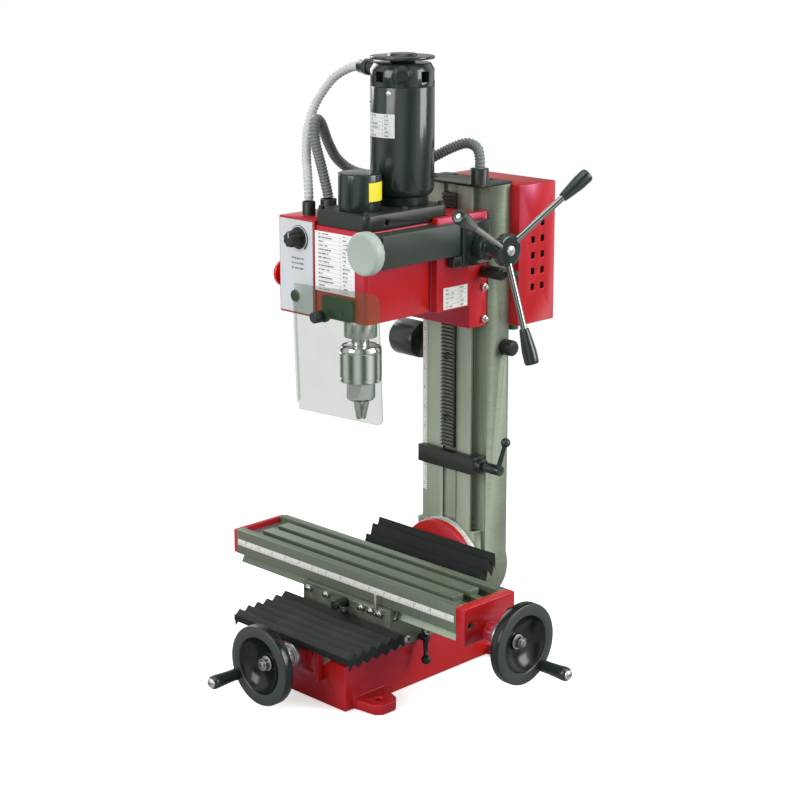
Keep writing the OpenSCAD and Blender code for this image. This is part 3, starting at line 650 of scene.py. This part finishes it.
table_axis = (table_end + 49, 22.5, 101.2)
saddle_axis = (0, -148, 58)
handwheel("table", table_axis, (1, 0, 0), "x_wheel", "table_wheel", "x_handle", "table_crank",
          (0, 27, -33), (-22.5, -12.4, 14.5))
handwheel("saddle", saddle_axis, (0, -1, 0), "y_wheel", "saddle_wheel", "y_handle",
          "saddle_crank", (-37, 0, -20), (-35.5, -24.1, 14.5))
sleeve = bmesh.new()
lathe(sleeve, saddle_axis, (0, -1, 0), [
    (5.05, -24.2), (12, -24.2), (12, -15), (11.2, -14.2), (5.05, -14.2), (5.05, -24.2)])
piece("saddle_wheel_sleeve", sleeve, "saddle_wheel", bright_steel, (), 0.0, 50)
screw_steel = tooled("screw_steel", (0.42, 0.42, 0.40), 0.3, 0.95, (1100, 60, 60), 0.1)
dress("x_screw", "table_wheel", screw_steel, 0.3)
cross_steel = tooled("cross_screw_steel", (0.42, 0.42, 0.40), 0.3, 0.95, (60, 1100, 60), 0.1)
dress("y_screw", "saddle_wheel", cross_steel, 0.3)

# ---------------------------------------------------------------- column
# A tall dovetailed iron column is bolted to the upstand and tilts on one stud. A steel rack and
# a printed scale are fixed in its front, and its milled sides show fine cutter lines.
column_front = tooled("column_front", (0.34, 0.395, 0.30), 0.36, 0.5, (520, 520, 22), 0.012, 0.1)
column_side = tooled("column_side", (0.19, 0.225, 0.165), 0.44, 0.45, (60, 60, 900), 0.06, 0.25)
dress("column", "column", [column_front, column_side], 0.8, 38,
      lambda at, out: int(abs(out.x) > 0.8 or out.y > 0.8))
rack_steel = tooled("rack_steel", (0.16, 0.165, 0.155), 0.4, 0.8, (40, 500, 500), 0.02)
dress("rack", "column", rack_steel, 0.12)
strip_low, strip_high = (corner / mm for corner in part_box("column_scale"))


def column_millimetres(finish):
    """Height above the foot plane, in step with whole inches, and the share across."""
    x, _, z = finish.axes()
    return z + above_zero, (strip_high.x - x) / (strip_high.x - strip_low.x)


column_rules = ruled("column_rules", paper_white, column_millimetres, tenth, rule_width)
dress("column_scale", "column", column_rules, 0)
zero_inch = 7
figures(
    "column_scale_figures",
    [(str(n - zero_inch), (strip_low.x + 2.4, strip_low.y + 0.02, n * inch + 1))
     for n in range(8, 23)],
    "column", 3.6, figure_depth,
)
cap_screws("rack_screws", [((5, 149.8, z), (0, -1, 0)) for z in (300, 380, 460, 550)],
           "column", 4.7, 2.4)
dress("top_plate", "column", black_paint, 0.6)
dress("spring_cup", "column", gloss_black, 1.5)
dress("spring_shaft", "column", moulded, 0.8)

# ---------------------------------------------------------------- electrics box
# The drive's sheet-steel box is screwed behind the column, painted red, with two rows of vents
# in each side. The circuit board inside can be seen through them.
dress("electrics_box", "column", red_paint, 1.2)
board_green = enamel("board", (0.02, 0.12, 0.06), 0.4, 300, 0.02)
dress("drive_board", "column", board_green, 0.3)
cover_screws = [((x, 272.6, z), (0, 1, 0)) for x in (-62, 62) for z in (427, 587)]
cap_screws("box_screws", cover_screws, "column", 3.2, 0.4)

# ---------------------------------------------------------------- depth stop
# A black bar clamps across the dovetail and stops the head; a ball lever on its right locks it.
dress("stop_bar", "stop", black_paint, 0.8)
dress("stop_lever", "stop_lever", gloss_black, 0.6)

# ---------------------------------------------------------------- head
# The head is a deep red iron casting that slides on the column. A black plate closes its top,
# and gears inside carry the drive from the motor to the spindle.
dress("head_casting", "head", [red_paint, ground_iron], 1.4, 30,
      lambda at, out: int(at.y > 144 and abs(at.x) < 47 and abs(out.z) < 0.5
                          and 430 < at.z < 560 and at.y < 164.2))
dress("motor_plate", "head", black_paint, 1.4, 30)
dress("head_screws", "head", bright_steel, 0.5)
dress("bearings", "head", bright_steel, 0.6)
dress("guard_bracket", "head", black_paint, 0.7)
dress("head_lock", "head_lock", moulded, 0.7)
cap_screws("plate_screws", [((x, y, 581.8), (0, 0, 1)) for x, y in
                            ((38, -26), (-38, -26), (38, 98), (-38, 98), (39, 36))],
           "head", 3.6, 3.4)

# ---------------------------------------------------------------- motor
# The motor stands on the plate in a pressed steel shell, sprayed gloss black. Its cap has air
# slots, two screwed brush caps, a cable gland and a top disc held by a nut.
dress("motor_shell", "head", gloss_black, 0.8, 30)
dress("motor_cap", "head", gloss_black, 0.6, 34)
dress("spindle_cap", "head", gloss_black, 1.2, 30)
motor_y, shell_r = 71, 38.4
brush_caps = bmesh.new()
for way in ((1, -1, 0), (-1, 1, 0)):
    lathe(brush_caps, (0, motor_y, 738), way, [
        (0, 40.6), (7.6, 40.6), (7.6, 42.1), (6.8, 42.8), (0, 42.8)], 40)
piece("brush_caps", brush_caps, "head", moulded, (), 0.0, 40)
top = bmesh.new()
rod(top, (0, motor_y, 760.6), (0, motor_y, 760.95), 11)
piece("motor_top_disc", top, "head", black_oxide)
shell_screws = bmesh.new()
for x, y, height in ((0.34, -0.94, 716), (-0.62, -0.785, 706)):
    lathe(shell_screws, (shell_r * x, motor_y + shell_r * y, height), (x, y, 0),
          [(0, 0), (3, 0), (2.6, 0.9), (0, 1.2)], 24)
# A thin black ring just inside the cap stands for the brush holder. It is also a dark sheet
# behind the air slots that paints the shade inside the cap.
slot_shade_ring = bmesh.new()
lathe(slot_shade_ring, (0, motor_y, 0), (0, 0, 1), [
    (28.4, 723.4), (29.7, 723.4), (29.7, 744.6), (28.4, 744.6), (28.4, 723.4)], 64)
piece("brush_ring_and_slot_shade", slot_shade_ring, "head", moulded)
piece("shell_screws", shell_screws, "head", bright_steel, (), 0.0, 40)

# ---------------------------------------------------------------- charts and plates
# The control panel, the front chart and the small plates are printed aluminium sheets. Their
# printing is plain ruled rows without words.


def printed(name, ground, across, left, width, bottom, height, rows, bars=0.5, border=0.03):
    """A printed plate: ruled rows of plain bars inside a thin border."""
    finish = Finish(name, Specular_IOR_Level=0.5)
    parts = finish.axes()
    u, v = (parts[across] - left) / width, (parts[2] - bottom) / height
    upward = v * float(rows)
    row, in_row = upward.calc("FLOOR"), upward % 1.0
    reach = finish.node("ShaderNodeTexWhiteNoise", {"noise_dimensions": "1D"}, {"W": row})
    second = finish.node(
        "ShaderNodeTexWhiteNoise", {"noise_dimensions": "1D"}, {"W": row + 31.0})
    bar = (u > 0.08) * (u < reach * 0.3 + 0.2)
    bar = bar.calc("MAXIMUM", (u > 0.7) * (u < second * 0.14 + 0.76))
    stroke = (finish.noise(1.0, 0, (1500, 1500, 60)) > 0.42) * (in_row > 0.3) * (in_row < 0.7)
    text = bar * stroke * bars
    rule = (in_row < 0.07) * (u > 0.06) * (u < 0.94) * 0.55
    column = ((u - 0.64).calc("ABSOLUTE") < 0.004) * 0.6
    inside = (u > border) * (u < 1 - border) * (v > border) * (v < 1 - border)
    mark = (text.calc("MAXIMUM", rule).calc("MAXIMUM", column)) * inside
    tone = finish.noise(40, 3)
    clean = tone.colours(lighter(ground, 0.93), lighter(ground, 1.06))
    finish.wear(mark.colours(clean, ink), tone * 0.15 + 0.32)
    return finish


panel = Finish("panel_print", Specular_IOR_Level=0.5)
knob_x, knob_z, arc_r, arc_end = -71.2, 543.0, 14.6, 270.0
px, _, pz = panel.axes()
dx, dz = px - knob_x, pz - knob_z
spread = (dx * dx + dz * dz).calc("SQRT")
angle = (dz.calc("ARCTAN2", dx) * math.degrees(1) + 130.0) % full_turn
arc = (angle > 80.0) * (angle < arc_end)
thick = (arc_end - angle) * (2.6 / 190) + 0.3
arc_mark = (spread > arc_r) * (spread - arc_r < thick) * arc
rows_bottom, rows_top = 505.0, 522.0
line = ((pz - rows_bottom) % 6.0 < 2.2) * (pz > rows_bottom) * (pz < rows_top)
dashes = (panel.noise(1.0, 0, (900, 1, 60)) > 0.44) * ((px + 73.0).calc("ABSOLUTE") < 11.0)
arc_mark = arc_mark.calc("MAXIMUM", line * dashes * 0.8)
tone = panel.noise(30, 3)
panel.wear(
    arc_mark.colours(tone.colours((0.55, 0.58, 0.60), (0.62, 0.65, 0.68)), ink),
    tone * 0.15 + 0.34,
)
chart = printed("chart_print", (0.84, 0.84, 0.83), 0, -43, 67.5, 484, 72, 15, 0.85)
side_plate = printed("plate_print", (0.70, 0.74, 0.68), 1, 86, 42, 455.5, 26.5, 5, 0.6, 0.05)
motor_plate_print = printed("motor_print", (0.66, 0.70, 0.66), 0, -20, 40, 664, 28, 6, 0.7)
yellow = enamel("yellow_label", (0.83, 0.70, 0.02), 0.4, 300, 0.0, 0.05)


def plate_of(at, out):
    """Which print a face belongs to: panel, chart, side plate, motor plate or label."""
    if at.x < -44:
        return 0
    if at.y > 80:
        return 2
    if at.z > 650:
        return 3
    return 4 if at.z > 585 else 1


dress("face_plates", "head", [panel, chart, side_plate, motor_plate_print, yellow],
      0, paint=plate_of)
fuse = bmesh.new()
lathe(fuse, (-78, -33.4, 471.5), (0, -1, 0),
      [(0, 0), (7.4, 0), (7.4, 1.0), (6.6, 1.7), (0, 1.9)], 48)
piece("fuse_cap", fuse, "head", moulded, (), 0.0, 40)
fuse_slot = bmesh.new()
block(fuse_slot, (-81.5, -35.5, 470.8), (-74.5, -35.2, 472.2))
piece("fuse_cap_slot", fuse_slot, "head", black_oxide)

# ---------------------------------------------------------------- control box
# A folded red box on the head's left holds the speed control. A black fluted knob stands on its
# panel, a fuse cap below it, and a mushroom stop button on its outer side.
dress("control_box", "head", [red_paint, moulded], 0.8, 34,
      lambda at, out: int(at.z > 567.01))


def fluted(form, start, way, outline, flutes, depth, steps):
    """A knob with scalloped sides: a turned shape whose rim is pulled in at each flute."""
    start, way = Vector(start), Vector(way).normalized()
    before = set(form.verts)
    lathe(form, start, way, outline, steps)
    rim = max(r for r, _ in outline)
    side = way.orthogonal().normalized()
    for vert in set(form.verts) - before:
        flat = vert.co - start - way * (vert.co - start).dot(way)
        if flat.length > rim * 0.55:
            turn = math.atan2(flat.dot(way.cross(side)), flat.dot(side))
            pull = depth * (0.5 + 0.5 * math.cos(flutes * turn)) ** 2
            vert.co -= flat.normalized() * pull * (flat.length / rim)


knob_seat = (knob_x, -33.7, knob_z)
knob = bmesh.new()
fluted(knob, knob_seat, (0, -1, 0),
       [(0, 1.3), (10.6, 1.3), (10.6, 2.2), (10.2, 9), (9.7, 15), (8.8, 16.1), (0, 16.2)],
       8, 1.5, 128)
lathe(knob, knob_seat, (0, -1, 0), [(0, 0), (13.5, 0), (13.3, 0.9), (10, 1.5), (0, 1.5)])
piece("speed_knob_skin", knob, "speed_knob", moulded, ["speed_knob"], 0.0, 34)
mark = bmesh.new()
block(mark, (knob_x - 0.5, -50.0, 545), (knob_x + 0.5, -49.8, 551.6))
white_line = enamel("white_line", (0.7, 0.7, 0.7), 0.5, 300, 0.0)
piece("speed_knob_mark", mark, "speed_knob", white_line)

stop_red = enamel("stop_red", (0.62, 0.008, 0.006), 0.26, 260, 0.01, 0.1, Coat_Weight=0.3)
button = bmesh.new()
lathe(button, (-126, -14, 492), (1, 0, 0), [
    (0, 0), (5, 0.25), (10, 1.0), (14, 2.8), (16.4, 5.2), (17, 7.4), (16.4, 9.2), (14, 10),
    (8, 10), (8, 31), (0, 31)])
piece("stop_button_skin", button, "stop_button", stop_red, ["stop_button"], 0.0, 50)

# ---------------------------------------------------------------- feed
# A black cover along the head's right side hides the fine feed's shaft, which ends in a grey
# knob in front and in a worm box behind. The three-armed hub turns the rack pinion.
side_black = enamel("cover_black", (0.026, 0.038, 0.029), 0.4, 900, 0.03, 0.2)
dress("feed_cover", "head", side_black, 2.2, 30, steps=3)
dress("worm_box", "head", gloss_black, 1.6, 30)
grey_plastic = enamel("grey_plastic", (0.36, 0.43, 0.38), 0.42, 700, 0.02, 0.06)
fine_face = (58, -54, 542.5)
knob = bmesh.new()
lathe(knob, fine_face, (0, 1, 0), [
    (0, 1.2), (18, 1.0), (21, 0.1), (23.6, 0.3), (25, 1.6), (25.5, 3.6), (25.5, 11.6),
    (24.6, 13.4), (22, 14), (0, 14)])
fluted(knob, fine_face, (0, 1, 0),
       [(0, 14), (19, 14), (19, 19.4), (17.6, 20.8), (12, 21.6), (5, 21.6), (5, 38), (0, 38)],
       14, 1.6, 168)
piece("fine_feed_knob", knob, "fine_knob", grey_plastic, ["fine_knob"], 0.0, 40)
dress("feed_hub", "feed", [gloss_black, bright_steel], 0.9, 34,
      lambda at, out: int(at.x < 70 or at.x > 118.5))
dark_chrome = tooled("dark_chrome", (0.26, 0.29, 0.27), 0.17, 1.0, (90, 90, 90), 0.002, 0.04)
dress("spokes", "feed", dark_chrome, 0.0)
grips = bmesh.new()
grip_pins = bmesh.new()
hub, splay = (110, 135, 530), 15
for turn in (38, -86, 154):
    place = (
        Matrix.Translation(hub)
        @ Matrix.Rotation(math.radians(turn - 90), 4, "X")
        @ Matrix.Rotation(math.radians(splay), 4, "Y")
    )
    way = (place.to_3x3() @ Vector((0, 0, 1))).normalized()
    lathe(grips, place @ Vector((0, 0, 97)), way, [
        (4.02, 0), (5.4, 0), (5.9, 0.8), (6.0, 2.4), (6.6, 6), (8.2, 20), (9.0, 28), (9.0, 40),
        (8.7, 42.2), (7.8, 43.6), (6.6, 44), (3.2, 44), (3.2, 42.5), (0, 42.5)], 48)
    lathe(grip_pins, place @ Vector((0, 0, 139.4)), way,
          [(0, 0), (3.1, 0), (3.1, 1.2), (2.6, 1.6), (0, 1.6)], 32)
piece("grips_skin", grips, "feed", gloss_black, ["grips"], 0.0, 45)
piece("grip_pins", grip_pins, "feed", chrome, (), 0.0, 45)

# ---------------------------------------------------------------- spindle and chuck
# The ground spindle carries a keyed three-jaw chuck of polished chrome. The sleeve's lower rim
# is cut with the key's teeth, and three jaws close on a cone.
dress("spindle", "spindle", bright_steel, 0.5, 40)
dress("idler", "idler", bright_steel, 0.0)
copper = tooled("copper_winding", (0.45, 0.16, 0.06), 0.4, 0.8, (40, 40, 500), 0.1)
dress("rotor", "rotor", [bright_steel, copper], 0.0, 38,
      lambda at, out: int(600 < at.z < 700))
dress("chuck_body", "spindle", chrome, 0.5, 34)
sleeve = bmesh.new()
lathe(sleeve, (0, 0, 0), (0, 0, 1), [
    (22.2, 374.2), (24.2, 374.2), (25.2, 375.2), (25.3, 378.4), (24.9, 379), (25.6, 379.8),
    (25.6, 410), (25.1, 410.6), (25.1, 411.4), (25.5, 412), (25.4, 414.4), (23.6, 417.6),
    (22.2, 417.9), (22.2, 374.2)])
piece("chuck_sleeve_skin", sleeve, "chuck_sleeve", chrome, ["chuck_sleeve"], 0.0, 34)
teeth = bmesh.new()
key_teeth = 36
for k in range(key_teeth):
    turn = k * math.tau / key_teeth
    out = Vector((math.cos(turn), math.sin(turn), 0))
    rod(teeth, out * 23.4 + Vector((0, 0, 374.4)), out * 24.6 + Vector((0, 0, 375.6)), 0.95,
        sides=6)
piece("chuck_sleeve_teeth", teeth, "chuck_sleeve", bright_steel)
for letter in "abc":
    dress("jaw_" + letter, "jaw_" + letter, bright_steel, 0.25)

# ---------------------------------------------------------------- chip guard
# A clear green-tinted plastic sheet hangs in front of the chuck, its left edge rolled to a
# gutter. A black fluted nut clamps it to the bracket.


def clear_sheet(name, share):
    """Clear tinted plastic; share is how much of what lies behind it is hidden."""
    finish = Finish(name, IOR=1.3, Specular_IOR_Level=0.3, Roughness=0.07)
    haze = finish.noise(25, 3)
    finish.wear(haze.colours((0.05, 0.11, 0.04), (0.06, 0.14, 0.05)), None, None,
                haze * 0.06 + share)
    finish.material.surface_render_method = "BLENDED"
    return finish


clear_face, clear_edge = clear_sheet("clear_face", 0.16), clear_sheet("clear_edge", 0.42)
gutter_end = -60
dress("guard", "guard", [clear_face, clear_edge], 0.0, 38,
      lambda at, out: int(abs(out.y) < 0.7 and at.x > gutter_end))

# ---------------------------------------------------------------- conduits
# The motor's and the drive's leads run in corrugated plastic conduit, pushed into black glands
# at both ends. The darker one crosses from the head to the column's top plate.


def along_route(points, share):
    """A point on the smooth route through points, share running from 0 to 1."""
    t = share * (len(points) - 1)
    i = min(int(t), len(points) - 2)
    u = t - i
    a, b = points[max(i - 1, 0)], points[i]
    c, d = points[i + 1], points[min(i + 2, len(points) - 1)]
    return 0.5 * (2 * b + (c - a) * u + (2 * a - 5 * b + 4 * c - d) * u * u
                  + (3 * b - a - 3 * c + d) * u ** 3)


def conduit(name, node, points, r, pitch, finish):
    """Corrugated tube: a ring drawn along the route, wide and narrow by turns."""
    points = [Vector(p) for p in points]
    last = 800
    fine = [along_route(points, k / last) for k in range(last + 1)]
    run = [0.0]
    for a, b in zip(fine, fine[1:]):
        run.append(run[-1] + (b - a).length)
    ribs = round(run[-1] / pitch)
    waves = (1.0, 0.99, 0.86, 0.86)
    count = ribs * len(waves)
    form = bmesh.new()
    ring = bmesh.ops.create_circle(form, segments=16, radius=1)["verts"]
    edges = list({e for v in ring for e in v.link_edges})
    side = Vector((0, 1, 0))
    before = Matrix.Identity(4)
    k = 0
    for n in range(count + 1):
        goal = run[-1] * n / count
        while k < len(run) - 2 and run[k + 1] < goal:
            k += 1
        u = (goal - run[k]) / (run[k + 1] - run[k])
        at = fine[k].lerp(fine[k + 1], u)
        way = (fine[min(k + 4, last)] - fine[max(k - 4, 0)]).normalized()
        side = (side - way * side.dot(way)).normalized()
        wide = r * waves[n % len(waves)]
        turn = Matrix((side, way.cross(side), way)).transposed().to_4x4()
        now = Matrix.Translation(at) @ turn @ Matrix.Diagonal((wide, wide, 1, 1))
        if n:
            grown = bmesh.ops.extrude_edge_only(form, edges=edges)["geom"]
            ring = [g for g in grown if isinstance(g, bmesh.types.BMVert)]
            edges = [g for g in grown if isinstance(g, bmesh.types.BMEdge)]
        bmesh.ops.transform(form, matrix=now @ before.inverted(), verts=ring)
        before = now
    bmesh.ops.holes_fill(form, edges=[e for e in form.edges if e.is_boundary], sides=0)
    bmesh.ops.recalc_face_normals(form, faces=form.faces)
    return piece(name, form, None, finish, [node], 0.0, 75)


pale_conduit = enamel("pale_conduit", (0.50, 0.53, 0.51), 0.45, 300, 0.02, 0.08)
dark_conduit = enamel("dark_conduit", (0.150, 0.170, 0.158), 0.42, 300, 0.02, 0.15)
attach(conduit("motor_conduit", "conduit_motor", [
    (-73.2, 71, 741), (-90, 70.5, 738), (-108, 62, 726), (-118, 50, 707), (-120, 38, 689),
    (-114, 22, 664), (-101, 8, 635), (-88, -2, 612), (-80, -8, 592), (-79, -9, 585)],
    5.9, 4.8, pale_conduit), "head")
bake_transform(conduit("column_conduit", "conduit_column", [
    (-68, 13, 586.9), (-71, 13, 598), (-78, 11, 625), (-85, 8, 655), (-90, 13, 678),
    (-93, 25, 674), (-96, 40, 648), (-96, 56, 626), (-88, 78, 610), (-68, 104, 605),
    (-40, 125, 613), (-10, 139, 631), (8, 150, 642), (24, 159, 648), (38, 162, 643),
    (44, 160.5, 630), (44, 160, 619.2)],
    6.6, 3.9, dark_conduit))
